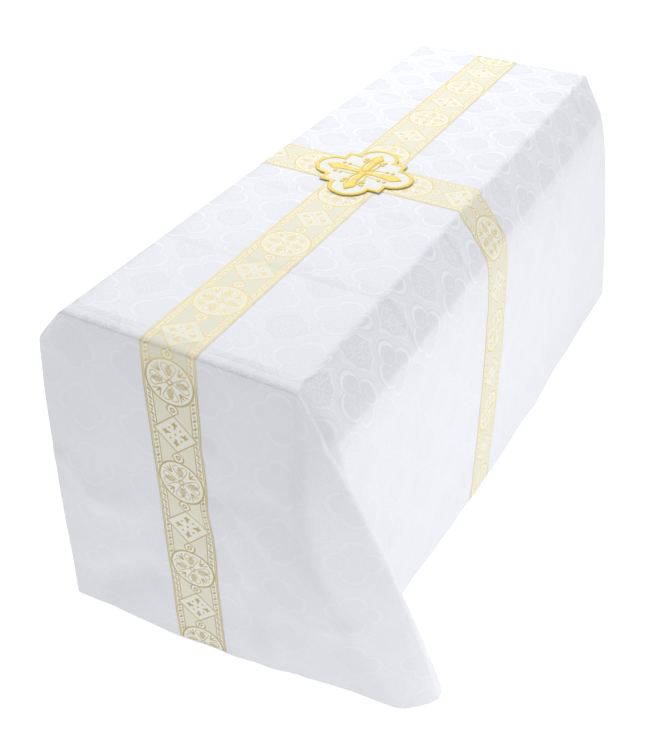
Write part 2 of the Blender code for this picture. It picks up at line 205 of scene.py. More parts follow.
# How far each wall stands out past the shoulder at half height and at the floor, and how far the
# cloth there has slipped along the wall at the shoulder and at the floor.
Lean = namedtuple("Lean", "place middle floor slip_shoulder slip_floor")
FRONT_LEAN = [
    Lean(-RIM_X, 0.001, 0.003, 0.000, 0.000),
    Lean(-0.110, 0.001, 0.003, -0.004, 0.021),
    Lean(0.050, 0.000, -0.011, -0.002, 0.016),
    Lean(0.160, -0.002, -0.024, 0.000, 0.010),
    Lean(RIM_X, -0.001, -0.041, 0.000, 0.000),
]
RIGHT_LEAN = [
    Lean(-RIM_Y, 0.004, 0.006, 0.042, 0.100),
    Lean(-0.600, 0.003, 0.000, 0.010, 0.060),
    Lean(-0.350, 0.008, 0.009, 0.000, 0.020),
    Lean(-0.210, 0.013, 0.018, -0.012, 0.003),
    Lean(-0.060, 0.022, 0.028, -0.020, 0.000),
    Lean(0.250, 0.024, 0.035, -0.005, 0.000),
    Lean(0.610, 0.026, 0.041, 0.000, 0.000),
    Lean(RIM_Y, 0.017, 0.047, -0.065, 0.010),
]
BACK_LEAN = [
    Lean(-RIM_X, 0.008, 0.020, 0.000, 0.000),
    Lean(-0.080, 0.002, 0.006, 0.000, 0.000),
    Lean(0.090, 0.006, 0.016, 0.000, 0.000),
    Lean(RIM_X, 0.006, 0.014, 0.000, 0.000),
]
LEFT_LEAN = [
    Lean(-RIM_Y, 0.005, 0.014, 0.040, 0.110),
    Lean(-0.550, 0.010, 0.020, 0.010, 0.030),
    Lean(-0.150, 0.016, 0.030, 0.000, 0.000),
    Lean(0.250, 0.012, 0.018, 0.000, 0.000),
    Lean(0.600, 0.020, 0.036, 0.000, 0.000),
    Lean(RIM_Y, 0.014, 0.026, -0.058, -0.030),
]

# The spare cloth of each corner, in order round the hem: where it passes at the shoulder, at half
# height and at the floor.
Pass = namedtuple("Pass", "shoulder middle floor")
NEAR_RIGHT_EAR = [
    Pass((0.2750, -0.9235), (0.3000, -0.9240), (0.3750, -0.864)),
    Pass((0.2960, -0.9250), (0.3460, -0.9275), (0.4950, -0.851)),
    Pass((0.3120, -0.9255), (0.3900, -0.9060), (0.5320, -0.832)),
    Pass((0.3270, -0.9262), (0.4400, -0.8800), (0.5580, -0.808)),
    Pass((0.3360, -0.9262), (0.4720, -0.8640), (0.5730, -0.788)),
    Pass((0.3405, -0.9235), (0.4860, -0.8520), (0.5780, -0.774)),
    Pass((0.3440, -0.9185), (0.4740, -0.8370), (0.5660, -0.742)),
    Pass((0.3530, -0.9140), (0.4400, -0.8320), (0.5120, -0.738)),
    Pass((0.3640, -0.9050), (0.4030, -0.8480), (0.4450, -0.768)),
    Pass((0.3690, -0.8880), (0.3810, -0.8480), (0.4020, -0.786)),
]
FAR_RIGHT_EAR = [
    Pass((0.3685, 0.850), (0.390, 0.965), (0.4185, 1.000)),
    Pass((0.3660, 0.866), (0.392, 1.015), (0.4200, 1.085)),
    Pass((0.3620, 0.880), (0.391, 1.052), (0.4200, 1.155)),
    Pass((0.3560, 0.892), (0.385, 1.074), (0.4150, 1.198)),
    Pass((0.3480, 0.902), (0.373, 1.078), (0.3990, 1.214)),
    Pass((0.3380, 0.910), (0.357, 1.062), (0.3770, 1.192)),
    Pass((0.3260, 0.916), (0.342, 1.020), (0.3540, 1.115)),
    Pass((0.3120, 0.920), (0.328, 0.972), (0.3360, 1.025)),
    Pass((0.2960, 0.922), (0.309, 0.945), (0.3160, 0.962)),
    Pass((0.2760, 0.923), (0.283, 0.936), (0.2880, 0.946)),
]
FAR_LEFT_EAR = [
    Pass((-0.285, 0.923), (-0.300, 0.936), (-0.312, 0.955)),
    Pass((-0.315, 0.921), (-0.348, 0.950), (-0.372, 0.988)),
    Pass((-0.336, 0.915), (-0.392, 0.972), (-0.442, 1.038)),
    Pass((-0.350, 0.906), (-0.424, 0.982), (-0.494, 1.070)),
    Pass((-0.360, 0.893), (-0.441, 0.968), (-0.522, 1.058)),
    Pass((-0.3655, 0.879), (-0.436, 0.938), (-0.512, 1.014)),
    Pass((-0.3680, 0.866), (-0.414, 0.908), (-0.462, 0.955)),
    Pass((-0.3692, 0.854), (-0.394, 0.880), (-0.417, 0.902)),
]
NEAR_LEFT_TUCK = [
    Pass((-0.3697, -0.876), (-0.3800, -0.846), (-0.3935, -0.812)),
    Pass((-0.3699, -0.882), (-0.3900, -0.832), (-0.4130, -0.782)),
    Pass((-0.3702, -0.888), (-0.4050, -0.795), (-0.4450, -0.715)),
    Pass((-0.3705, -0.894), (-0.4170, -0.762), (-0.4680, -0.664)),
    Pass((-0.3710, -0.899), (-0.4250, -0.768), (-0.4810, -0.672)),
    Pass((-0.3714, -0.904), (-0.4180, -0.808), (-0.4660, -0.735)),
    Pass((-0.3735, -0.907), (-0.4020, -0.868), (-0.4320, -0.822)),
    Pass((-0.3745, -0.9120), (-0.3860, -0.908), (-0.3960, -0.908)),
    Pass((-0.3625, -0.9225), (-0.3790, -0.9225), (-0.3800, -0.9305)),
    Pass((-0.3600, -0.9258), (-0.3740, -0.9255), (-0.3740, -0.9335)),
    Pass((-0.3500, -0.9245), (-0.3560, -0.9255), (-0.3550, -0.9335)),
    Pass((-0.3000, -0.9232), (-0.3000, -0.9245), (-0.2990, -0.9290)),
]
STEPS_A_PASS = 4

# Soft ridges and troughs down a wall, from one place and drop to another, and across the lid.
Crease = namedtuple("Crease", "wall start end width height")
CREASES = [
    Crease("front", (0.075, 0.230), (0.125, 0.330), 0.026, 0.009),
    Crease("front", (0.140, 0.370), (0.330, 0.650), 0.024, 0.015),
    Crease("front", (0.205, 0.330), (0.370, 0.600), 0.034, -0.011),
    Crease("front", (0.075, 0.400), (0.130, 0.600), 0.022, 0.008),
    Crease("front", (0.030, 0.480), (0.150, 0.760), 0.036, -0.009),
    Crease("front", (-0.345, 0.430), (-0.270, 0.530), 0.026, 0.009),
    Crease("front", (-0.270, 0.810), (-0.140, 0.705), 0.048, -0.012),
    Crease("front", (-0.260, 0.540), (-0.170, 0.510), 0.050, 0.006),
    Crease("front", (-0.330, 0.180), (-0.200, 0.380), 0.060, -0.004),
    Crease("right", (-0.560, 0.130), (-0.520, 0.480), 0.040, -0.005),
    Crease("right", (-0.735, 0.230), (-0.690, 0.560), 0.040, -0.006),
    Crease("right", (0.420, 0.250), (0.400, 0.900), 0.070, 0.007),
    Crease("back", (-0.060, 0.200), (-0.110, 0.900), 0.060, -0.008),
    Crease("left", (-0.350, 0.200), (-0.300, 0.900), 0.070, -0.009),
    Crease("left", (0.380, 0.250), (0.430, 0.900), 0.080, -0.010),
    Crease("top", (-0.240, -0.556), (0.235, -0.553), 0.010, 0.0016),
    Crease("top", (-0.230, -0.570), (0.200, -0.567), 0.012, -0.0010),
    Crease("top", (0.080, -0.874), (0.220, -0.880), 0.009, 0.0012),
    Crease("top", (-0.240, -0.212), (-0.110, -0.210), 0.012, 0.0014),
    Crease("top", (0.110, -0.214), (0.210, -0.216), 0.010, 0.0014),
]

# A column of the hanging cloth starts at the rim and passes its places in plan at the shoulder, at
# half height and at the floor. Spare columns have no own place in the flat cloth at the rim.
Column = namedtuple("Column", "wall rim shoulder middle floor own")
# A wall has its leans, its outward direction, how far out its rim and its shoulder lie, and the
# way in which it lies in the flat cloth, in degrees.
Wall = namedtuple("Wall", "name lean sign rim_out shoulder_out turn")
WALLS = [
    Wall("front", FRONT_LEAN, (0, -1), RIM_Y, END_OUT, -90),
    Wall("right", RIGHT_LEAN, (1, 0), RIM_X, SHOULDER_HALF_WIDTH, 0),
    Wall("back", BACK_LEAN, (0, 1), RIM_Y, END_OUT, 90),
    Wall("left", LEFT_LEAN, (-1, 0), RIM_X, SHOULDER_HALF_WIDTH, 180),
]
OUTWARD = {wall.name: wall.sign for wall in WALLS} | {"top": (0, 0)}
TURNS = {wall.name: math.radians(wall.turn) for wall in WALLS}


def between(a, b, share):
    return tuple(p + (q - p) * share for p, q in zip(a, b))


def stops(marks, step):
    """Places from the first mark to the last, about a step apart, with every mark among them."""
    places = [marks[0]]
    for low, high in zip(marks, marks[1:]):
        count = max(1, round((high - low) / step))
        places += [low + (high - low) * i / count for i in range(1, count + 1)]
    return places


def curve_through(rows, at):
    """A point on the smooth curve through a table's rows, at a row number with its fraction."""
    i = min(int(at), len(rows) - 2)
    t = at - i
    near = [rows[max(0, min(len(rows) - 1, i + step))] for step in (-1, 0, 1, 2)]
    return tuple(
        0.5 * (2 * q + (r - p) * t + (2 * p - 5 * q + 4 * r - s) * t**2 + (3 * q - p - 3 * r + s) * t**3)
        for p, q, r, s in zip(*near)
    )


def read_lean(rows, place):
    """The lean's row at a place along its wall, eased between the rows on both sides of it."""
    for low, high in zip(rows, rows[1:]):
        if place <= high.place:
            break
    share = min(1.0, max(0.0, (place - low.place) / (high.place - low.place)))
    return Lean(*between(low, high, share * share * (3 - 2 * share)))


def wall_columns(wall, places):
    """The cloth's straight columns down one wall."""

    def point(place, out):
        return (place, wall.sign[1] * out) if wall.sign[0] == 0 else (wall.sign[0] * out, place)

    columns = []
    for place in places:
        lean = read_lean(wall.lean, place)
        halfway = (lean.slip_shoulder + lean.slip_floor) / 2
        columns.append(
            Column(
                wall.name,
                point(place, wall.rim_out),
                point(place + lean.slip_shoulder, wall.shoulder_out),
                point(place + halfway, wall.shoulder_out + lean.middle),
                point(place + lean.slip_floor, wall.shoulder_out + lean.floor),
                True,
            )
        )
    return columns


def corner_columns(before, passes, after, tip):
    """The columns of one corner's spare cloth, between the last columns of the wall before it and
    the first of the wall after it. Those up to the fold's tip hang on the wall before it."""
    rows = [before[-2], before[-1], *passes, after[0], after[1]]
    columns = []
    for step in range(1, (len(passes) + 1) * STEPS_A_PASS):
        at = 1 + step / STEPS_A_PASS
        places = [
            curve_through([getattr(row, height) for row in rows], at)
            for height in ("shoulder", "middle", "floor")
        ]
        wall = before[-1].wall if at - 1 < tip else after[0].wall
        columns.append(Column(wall, before[-1].rim, *places, False))
    return columns


# The cloth's columns are about a grid's step apart, and some of them follow the bands' edges.
GRID = 0.0128
BAND_HALVES = (-0.5, 0.5)
across = stops([-RIM_X] + [LONG_BAND_X + f * BAND_WIDTH for f in BAND_HALVES] + [RIM_X], GRID)
along = stops([-RIM_Y] + [CROSS_BAND_Y + f * BAND_WIDTH for f in BAND_HALVES] + [RIM_Y], GRID)
front, right = wall_columns(WALLS[0], across), wall_columns(WALLS[1], along)
back, left = wall_columns(WALLS[2], across[::-1]), wall_columns(WALLS[3], along[::-1])
columns = front + corner_columns(front, NEAR_RIGHT_EAR, right, 6)
columns += right + corner_columns(right, FAR_RIGHT_EAR, back, 5)
columns += back + corner_columns(back, FAR_LEFT_EAR, left, 5)
columns += left + corner_columns(left, NEAR_LEFT_TUCK, front, 8)

edge_count = (len(EDGE_LEVELS) - 1) * EDGE_STEPS
levels = [Level(*curve_through(EDGE_LEVELS, i / EDGE_STEPS)) for i in range(edge_count + 1)]
fall = TOP_HEIGHT - HEM_LIFT - levels[-1].drop
levels += [Level(levels[-1].drop + fall * i / WALL_STEPS, 1.0, 1.0) for i in range(1, WALL_STEPS + 1)]


def crease_depth(wall, place):
    """How far the creases push the cloth out at a place on its wall or on the lid."""
    depth = 0.0
    for crease in CREASES:
        if crease.wall != wall:
            continue
        start, run = Vector(crease.start), Vector(crease.end) - Vector(crease.start)
        share = (place - start).dot(run) / run.length_squared
        away = (place - start - run * min(1.0, max(0.0, share))).length / crease.width
        depth += crease.height * math.exp(-away * away)
    return depth


def waver(point, size, height):
    """A soft unevenness of the cloth, of about this size and height."""
    return height * noise.noise(Vector(point) / size)


def column_point(column, level):
    """The cloth's outer face where a column crosses a level."""
    if level.drop <= SHOULDER_DROP:
        x = column.rim[0] + (column.shoulder[0] - column.rim[0]) * level.side
        y = column.rim[1] + (column.shoulder[1] - column.rim[1]) * level.end
        return Vector((x, y, TOP_HEIGHT - level.drop))
    share = (level.drop - SHOULDER_DROP) / (TOP_HEIGHT - SHOULDER_DROP)
    weights = ((1 - share) * (1 - 2 * share), 4 * share * (1 - share), share * (2 * share - 1))
    keys = (column.shoulder, column.middle, column.floor)
    x, y = (sum(w * key[axis] for w, key in zip(weights, keys)) for axis in (0, 1))
    if level.side < 1.0:
        x = column.rim[0] + (x - column.rim[0]) * level.side
    sign = OUTWARD[column.wall]
    depth = crease_depth(column.wall, Vector((x if sign[0] == 0 else y, level.drop)))
    depth += waver((x, y, level.drop), 0.16, 0.0035) * min(1.0, 3 * share)
    return Vector((x + sign[0] * depth, y + sign[1] * depth, TOP_HEIGHT - level.drop))


def lid_point(x, y):
    height = crease_depth("top", Vector((x, y))) + waver((x, y, 0), 0.07, 0.0004)
    return Vector((x, y, TOP_HEIGHT + height))


def base_column(k):
    """The wall's own column that a column's place in the flat cloth is measured from."""
    before = next(k - i for i in range(k + 1) if columns[k - i].own)
    if columns[before].wall == columns[k].wall:
        return before
    onward = [(k + i) % len(columns) for i in range(len(columns))]
    return next(i for i in onward if columns[i].own)


def places_in_flat(ring, reach):
    """Returns a function for a place in the flat cloth of a ring's point, measured from a column."""
    round_it = [0.0]
    for vert, following in zip(ring, ring[1:] + ring[:1]):
        round_it.append(round_it[-1] + (following.co - vert.co).length)

    def place(k, base):
        column = columns[base]
        aside = round_it[k] - round_it[base]
        if aside > round_it[-1] / 2:
            aside -= round_it[-1]
        turn = TURNS[column.wall]
        down = Vector((math.cos(turn), math.sin(turn)))
        return Vector(column.rim) + down * reach[base] + Vector((-down.y, down.x)) * aside

    return place


def cloth_skin():
    """The cloth's outer face as one open sheet, with its place in the flat cloth as its UVs.
    Returns the bmesh, the lid's grid of points and the rings of points down to the hem."""
    bm = bmesh.new()
    flat = bm.loops.layers.uv.new("flat")
    cut, at_rim = {}, {}
    top = [[bm.verts.new(lid_point(x, y)) for y in along] for x in across]
    for i, x in enumerate(across):
        for j, y in enumerate(along):
            cut[top[i][j]] = (x, y)
            at_rim[round(x, 5), round(y, 5)] = top[i][j]
    for i in range(len(across) - 1):
        for j in range(len(along) - 1):
            face = bm.faces.new((top[i][j], top[i + 1][j], top[i + 1][j + 1], top[i][j + 1]))
            for loop in face.loops:
                loop[flat].uv = cut[loop.vert]
    rings = [[at_rim[round(c.rim[0], 5), round(c.rim[1], 5)] for c in columns]]
    rings += [[bm.verts.new(column_point(c, level)) for c in columns] for level in levels[1:]]
    bases = [base_column(k) for k in range(len(columns))]
    reach = [0.0] * len(columns)
    hung = [places_in_flat(rings[0], reach)]
    for upper, lower in zip(rings, rings[1:]):
        reach = [far + (low.co - high.co).length for far, high, low in zip(reach, upper, lower)]
        hung.append(places_in_flat(lower, reach))
    for row, (upper, lower) in enumerate(zip(rings, rings[1:])):
        for k in range(len(columns)):
            n = (k + 1) % len(columns)
            same = columns[bases[n]].wall == columns[bases[k]].wall
            base = [bases[k], bases[n] if same else bases[k]]
            corners = [(upper[k], k, 0, 0), (lower[k], k, 1, 0)]
            corners += [(lower[n], n, 1, 1), (upper[n], n, 0, 1)]
            if upper[k] is upper[n]:
                corners.pop()
            face = bm.faces.new([corner[0] for corner in corners])
            for loop, (_, column, down, side) in zip(face.loops, corners):
                loop[flat].uv = hung[row + down](column, base[side])
    bm.normal_update()
    return bm, top, rings


def add_piece(name, bm, material, thickness=0.0, offset=-1.0):
    """Makes a piece of a bmesh, which rides on the one body. A sheet gets its thickness, and the
    cut edges of a sheet are sharp."""
    for edge in bm.edges:
        edge.smooth = not edge.is_boundary
    mesh = bpy.data.meshes.new(name)
    bm.to_mesh(mesh)
    bm.free()
    mesh.materials.append(material)
    mesh.shade_smooth()
    piece = bpy.data.objects.new(name, mesh)
    bpy.context.scene.collection.objects.link(piece)
    if thickness:
        wall = piece.modifiers.new("thickness", "SOLIDIFY")
        wall.thickness = thickness
        wall.offset = offset
        wall.use_even_offset = False
    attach(piece, "root")
    return piece


DAMASK_PITCH = 0.168
DAMASK_START = (0.069, -0.496)
LOBE_OUT, LOBE_INNER, LOBE_OUTER = 0.0365, 0.0344, 0.0484
SHOULDER_IN_FLAT, END_IN_FLAT = 0.450, 0.935
PRESSED_PITCH = 0.331
SATIN_GROUND, SATIN_FIGURE = (0.650, 0.664, 0.712), (0.752, 0.761, 0.800)


def far(x, y):
    """The distance of a place from the origin of two measures."""
    return (x * x + y * y).math("SQRT", x * x + y * y)


def damask_figure(u, v, ragged):
    """The damask's repeat, 1 where the weave shows its bright face: a quatrefoil of four lobes in
    three thin outlines, and a leafy diamond in each gap between four of them."""
    half = DAMASK_PITCH / 2
    aside = abs(u.math("WRAP", u - DAMASK_START[0], half, -half))
    ahead = abs(v.math("WRAP", v - DAMASK_START[1], half, -half))
    a, b = aside.math("MAXIMUM", aside, ahead), aside.math("MINIMUM", aside, ahead)
    lobe = far(a - LOBE_OUT, b)
    centre = far(a, b)
    bands = lobe.math("PINGPONG", lobe - 0.0342, 0.00235).below(0.0011, 0.0008)
    outlines = (1 - bands) * lobe.below(LOBE_OUTER, 0.0008) * (1 - lobe.below(LOBE_INNER, 0.0008))
    hollow = (far(a - 0.0295, b) + ragged * 0.012).below(0.0272, 0.0012)
    crescent = lobe.below(0.0305, 0.001) * (1 - hollow)
    hook = centre.on_line(0.0165, 0.0008, 0.0007) * (a - b + ragged * 0.01).below(0.012, 0.002)
    spoke = (a - b).below(0.0016, 0.0009) * centre.below(0.038, 0.001)
    spoke = spoke * (1 - centre.below(0.0165, 0.001))
    curl = far(a - 0.0340, b).on_line(0.0085, 0.0008, 0.0007) * (a + ragged * 0.02).below(0.0330, 0.001)
    e, f = half - b, half - a
    gap = 1 - lobe.below(0.0492, 0.0008)
    teeth = (lobe + 0.0018 * (e * 1150.0).math("SINE", e * 1150.0) + ragged * 0.008).below(0.0542, 0.001)
    reach = (e - 0.036) / 0.0215
    across_leaf = f / 0.0092
    leaf = (reach * reach + across_leaf * across_leaf + ragged * 1.2).on_line(0.55, 0.13, 0.12)
    bud = (far(e - 0.0190, f - 0.0190) + ragged * 0.008).on_line(0.0078, 0.0008, 0.0007)
    heart = (far(e, f) + ragged * 0.006).on_line(0.0075, 0.0009, 0.0008)
    dots = far(e - 0.0150, f - 0.0055).below(0.0022, 0.0008)
    twigs = (ragged + 0.04).on_line(0.0, 0.022, 0.02)
    return either(
        outlines * 0.85, crescent, hook, spoke, curl, gap * either(teeth, leaf, bud, heart, dots, twigs)
    )


def painted_wall_light_mask(u, v):
    """0 on the lid and its slopes and 1 on the walls, where the light falls along the weave. It marks
    where painted light fades the damask's pattern.
    """
    return 1 - abs(u).below(SHOULDER_IN_FLAT, 0.12) * abs(v).below(END_IN_FLAT, 0.04)


def pressed(place, v):
    """The height of the lines across the lid that the cloth was folded along while it was stored."""
    line = v.math("WRAP", v + 0.55, PRESSED_PITCH / 2, -PRESSED_PITCH / 2)
    ridge = (-1 * line).below(0.009, 0.018) * line.below(0.017, 0.034)
    return ridge * abs(v).below(0.93, 0.04) * (place.grain(4.0, 1.0) * 1.6 - 0.2) * 0.0036


damask, inputs, place = new_finish(
    "white damask", "UV", Sheen_Weight=0.12, Sheen_Roughness=0.35, Specular_IOR_Level=0.55
)
u, v = place.split()
figure = damask_figure(u, v, place.grain(170.0, 2.0) - 0.5)
lace = place.grain(1100.0, 1.0, (1.0, 0.6, 1.0)) * 0.8 + 0.6
# Painted light: the weave shows less on the walls. Its contrast is cut and its tone shifted there to
# stand in for the light falling along them.
figure = 0.5 + (figure * lace - 0.5) * (1 - 0.68 * painted_wall_light_mask(u, v))
twill = (u + v) * 7000.0
twill = twill.math("SINE", twill)
cloudy = place.grain(7.0, 3.0)
plug(
    inputs,
    Base_Color=(figure + cloudy * 0.15 - 0.07).tint(SATIN_GROUND, SATIN_FIGURE),
    Roughness=0.40 + 0.22 * figure,
    relief=figure * 0.00012 + twill * 0.00001 + place.grain(900.0, 1.0) * 0.00005 + pressed(place, v),
)

bm, *_ = cloth_skin()
pall = add_piece("pall", bm, damask, CLOTH_THICKNESS)
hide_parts("pall_cloth")

# The orphreys are bands woven of ivory silk and gold thread, machine-stitched on the cloth's face.
# The long one runs from hem to hem. The cross one is in two halves, butted under the emblem.

BAND_LIFT = 0.0002
BAND_THICKNESS = 0.0004
BAND_HEM_LIFT = 0.006


def index_of(wall, place):
    """The number of the wall's column that starts at a place on the rim."""
    axis = 0 if wall in ("front", "back") else 1
    for k, column in enumerate(columns):
        if column.wall == wall and column.own and abs(column.rim[axis] - place) < 1e-6:
            return k


def long_strip(top, rings):
    """Rows of points from the front hem over the lid to the back hem."""
    lines = [i for i, x in enumerate(across) if abs(x - LONG_BAND_X) < BAND_WIDTH / 2 + 1e-6]
    front, back = ([index_of(wall, across[i]) for i in lines] for wall in ("front", "back"))
    rows = [[ring[k] for k in front] for ring in rings[:0:-1]]
    rows += [[top[i][j] for i in lines] for j in range(len(along))]
    return rows + [[ring[k] for k in back] for ring in rings[1:]]


def cross_strip(side):
    """Rows of points from the long band's edge, over one long edge of the lid, to the hem."""

    def strip(top, rings):
        lines = [j for j, y in enumerate(along) if abs(y - CROSS_BAND_Y) < BAND_WIDTH / 2 + 1e-6]
        edge = LONG_BAND_X + side * BAND_WIDTH / 2
        on_top = [i for i, x in enumerate(across) if (x - edge) * side > -1e-6][::side]
        down = [index_of("right" if side > 0 else "left", along[j]) for j in lines]
        rows = [[top[i][j] for j in lines] for i in on_top]
        return rows + [[ring[k] for k in down] for ring in rings[1:]]

    return strip


def make_band(name, strip, material):
    """A band on the cloth's outer face: the faces of one strip of its skin, lifted off it."""
    bm, top, rings = cloth_skin()
    rows = strip(top, rings)
    places = {vert: vert.co + vert.normal * BAND_LIFT for row in rows for vert in row}
    spare = [face for face in bm.faces if not all(vert in places for vert in face.verts)]
    bmesh.ops.delete(bm, geom=spare, context="FACES")
    for vert, place in places.items():
        vert.co = place
        vert.co.z = max(vert.co.z, BAND_HEM_LIFT)
    band = add_piece(name, bm, material, BAND_THICKNESS, 1.0)
    return band


REPEAT = 0.2713
ROUNDEL_RADIUS, BORDER_MIDDLE = 0.0573, 0.0532
LOZENGE_SLOPE = 1.12
IVORY_FIELD, IVORY_PALE = (0.675, 0.665, 0.550), (0.742, 0.737, 0.665)
# The dull gold is the thread's colour in painted shade on the end walls. Random unevenness moves it only
# a little way towards that colour.
GOLD_DULL_AND_SHADED, GOLD_BRIGHT = (0.350, 0.275, 0.105), (0.668, 0.545, 0.225)


def orphrey_figure(ahead, aside, start):
    """The band's repeat. Returns where gold thread shows and where the ground is pale. ahead runs
    along the band and aside from its middle line."""
    s = abs(ahead.math("WRAP", ahead - start, REPEAT / 2, -REPEAT / 2))
    t = abs(aside)
    from_roundel = far(s, t)
    in_roundel = from_roundel.below(ROUNDEL_RADIUS, 0.0008)
    rim = from_roundel.on_line(ROUNDEL_RADIUS, 0.0023, 0.0008)
    ring = either(rim, from_roundel.on_line(0.0059, 0.0017, 0.0007))
    p, q = s.math("MAXIMUM", s, t), s.math("MINIMUM", s, t)
    curl = far(p - 0.0370, q - 0.0092).on_line(0.0092, 0.0010, 0.0007) * (1 - p.below(0.0335, 0.001))
    stem = (q - p * 0.60).on_line(-0.0030, 0.0012, 0.0008) * p.below(0.0345, 0.001)
    scallop = p.math("PINGPONG", p, 0.0036) / 0.0036
    reach, across_leaf = (p - 0.029) / 0.0150, q / 0.0100
    leaf = (reach * reach + across_leaf * across_leaf - scallop * 0.55).below(0.42, 0.2)
    slanted = p + q * 0.9
    veins = slanted.math("PINGPONG", slanted, 0.0023).below(0.0007, 0.0007)
    veins = veins * (1 - q.below(0.0013, 0.0006))
    rib = either(q.below(0.0006, 0.0006) * (1 - p.below(0.022, 0.001)), veins)
    m, n = (s + t) * 0.7071, abs(s - t) * 0.7071
    prong = (n + (m - 0.040) * 0.12).below(0.0022, 0.0009)
    fork = (n - (m - 0.0310) * 0.62).on_line(0.0, 0.0017, 0.0009)
    sprig = either(prong, fork) * m.below(0.0490, 0.001) * (1 - m.below(0.0310, 0.001))
    petals = either(curl, stem * (1 - from_roundel.below(0.0075, 0.0006)), leaf * (1 - rib), sprig)
    petals = petals * from_roundel.below(0.0530, 0.0008)

    from_loop = far(s - 0.0713, t)
    tear = from_loop.on_line(0.0138, 0.0017, 0.0008) * s.below(0.0775, 0.001)
    eye = from_loop.on_line(0.0046, 0.0019, 0.0007)
    sides = (t - abs(s - 0.0868) * LOZENGE_SLOPE).on_line(0.0, 0.0021, 0.0009)
    sides = sides * (1 - s.below(0.0775, 0.001))
    d = REPEAT / 2 - s
    in_diamond = (d * LOZENGE_SLOPE + t).below(0.0545, 0.0009)
    g, h = d.math("MAXIMUM", d, t), d.math("MINIMUM", d, t)
    blade, blade_side = (g - 0.0225) / 0.0108, h / 0.0031
    arm, arm_side = (g - 0.0245) / 0.0033, h / 0.0078
    cross = either(
        (blade * blade + blade_side * blade_side).below(1.0, 0.3),
        (arm * arm + arm_side * arm_side).below(1.0, 0.3),
    )
    dots = either(far(g - 0.0137, h - 0.0137).below(0.0027, 0.0007), far(d, t).below(0.0028, 0.0007))

    free = 1 - from_roundel.below(0.0598, 0.0008)
    free = free * (1 - (d * LOZENGE_SLOPE + t).below(0.0568, 0.0009))
    lines = either(t.on_line(0.0648, 0.0011, 0.0006), t.on_line(0.0611, 0.0009, 0.0006))
    inner = t.on_line(0.0453, 0.0013, 0.0006) * free
    strip = t.on_line(BORDER_MIDDLE, 0.0062, 0.0006) * free
    cell = d.math("WRAP", d - 0.0145, 0.0105, -0.0105)
    rise = t - BORDER_MIDDLE
    slant, slant_side = (cell + rise) / 0.0094, (cell - rise) / 0.0040
    dash = (slant * slant + slant_side * slant_side).below(1.0, 0.3)
    bead = far(abs(cell) - 0.0105, rise).on_line(0.0022, 0.0010, 0.0006)
    gold = either(ring, petals, tear, eye, sides, in_diamond * either(cross, dots), lines, inner)
    gold = either(gold, strip * either(dash, bead))
    pale = either(in_roundel, in_diamond * 0.7, strip, from_loop.below(0.0125, 0.0008))
    return gold, pale


def band_finish(name, swap, middle, start):
    """The woven band's material, with the repeat laid along it."""
    finish, inputs, place = new_finish(name, "UV", Sheen_Weight=0.1, Sheen_Roughness=0.35)
    u, v = place.split()
    ahead, aside = (u, v - middle) if swap else (v, u - middle)
    gold, pale = orphrey_figure(ahead, aside, start)
    ribs = (ahead * 5200.0).math("SINE", ahead * 5200.0)
    wear = place.grain(30.0, 3.0)
    ground = (pale + wear * 0.2 - 0.1).tint(IVORY_FIELD, IVORY_PALE)
    # Painted shade: the gold thread is darkened where the band hangs down the end walls, to stand in for
    # the shade there.
    painted_end_shade = 1 - abs(v).below(0.975, 0.08)
    thread = (0.75 + wear * 0.5 - 0.72 * painted_end_shade).tint(GOLD_DULL_AND_SHADED, GOLD_BRIGHT)
    colour = gold.node("Mix", {"data_type": "RGBA"}, {0: gold, 6: ground, 7: thread}, 2)
    plug(
        inputs,
        Base_Color=colour,
        Roughness=0.52 - 0.14 * gold,
        Metallic=0.1 * gold,
        relief=gold * 0.00014 + pale * 0.00006 + ribs * 0.00001
        + place.grain(900.0, 1.0) * 0.00004 + pressed(place, v),
    )
    return finish


Orphrey = namedtuple("Orphrey", "name node strip swap middle start length")
ORPHREYS = [
    Orphrey(
        "long_orphrey", "long_band", long_strip, False, LONG_BAND_X, -0.733,
        CUT_LENGTH - 2 * BAND_HEM_LIFT,
    ),
    Orphrey(
        "right_orphrey", "cross_band_right", cross_strip(1), True, CROSS_BAND_Y, 0.3833,
        CUT_WIDTH / 2 - LONG_BAND_X - BAND_WIDTH / 2,
    ),
    Orphrey(
        "left_orphrey", "cross_band_left", cross_strip(-1), True, CROSS_BAND_Y, -0.1540,
        CUT_WIDTH / 2 + LONG_BAND_X - BAND_WIDTH / 2,
    ),
]
for one in ORPHREYS:
    finish = band_finish("woven " + one.name.replace("_", " "), one.swap, one.middle, one.start)
    band = make_band(one.name, one.strip, finish)
    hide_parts(one.node)

# The emblem is an embroidered badge, worked apart, cut out and sewn on where the bands cross. Its
# ground is a cream cloth. A padded edge and a cross with buds are worked on it in gold thread, in
# satin stitch, which lies across each form.

EMBLEM_CENTRE = (-0.020, -0.053)
EMBLEM_HALF, EMBLEM_REACH, EMBLEM_LOBE = (0.084, 0.086), (0.134, 0.139), 0.053
BADGE_FLOOR = TOP_HEIGHT + 0.0022
BADGE_THICKNESS = 0.0016
BADGE_INSET = 0.0025
STITCH_FLOOR = BADGE_FLOOR + BADGE_THICKNESS - 0.0003


def badge_outline(inset, segments=24):
    """The badge's outline, a square with a round lobe on each side, drawn in by an inset."""
    points = []
    for quarter in range(4):
        out, side = EMBLEM_HALF[quarter % 2] - inset, EMBLEM_HALF[1 - quarter % 2] - inset
        lobe = EMBLEM_LOBE - inset
        centre = EMBLEM_REACH[quarter % 2] - EMBLEM_LOBE
        spread = math.acos((out - centre) / lobe)
        turn = Matrix.Rotation(quarter * math.pi / 2, 2)
        arc = [spread * (2 * s / segments - 1) for s in range(segments + 1)]
        points += [turn @ Vector((centre + lobe * math.cos(a), lobe * math.sin(a))) for a in arc]
        points.append(turn @ Vector((out, side)))
    return [point + Vector(EMBLEM_CENTRE) for point in points]


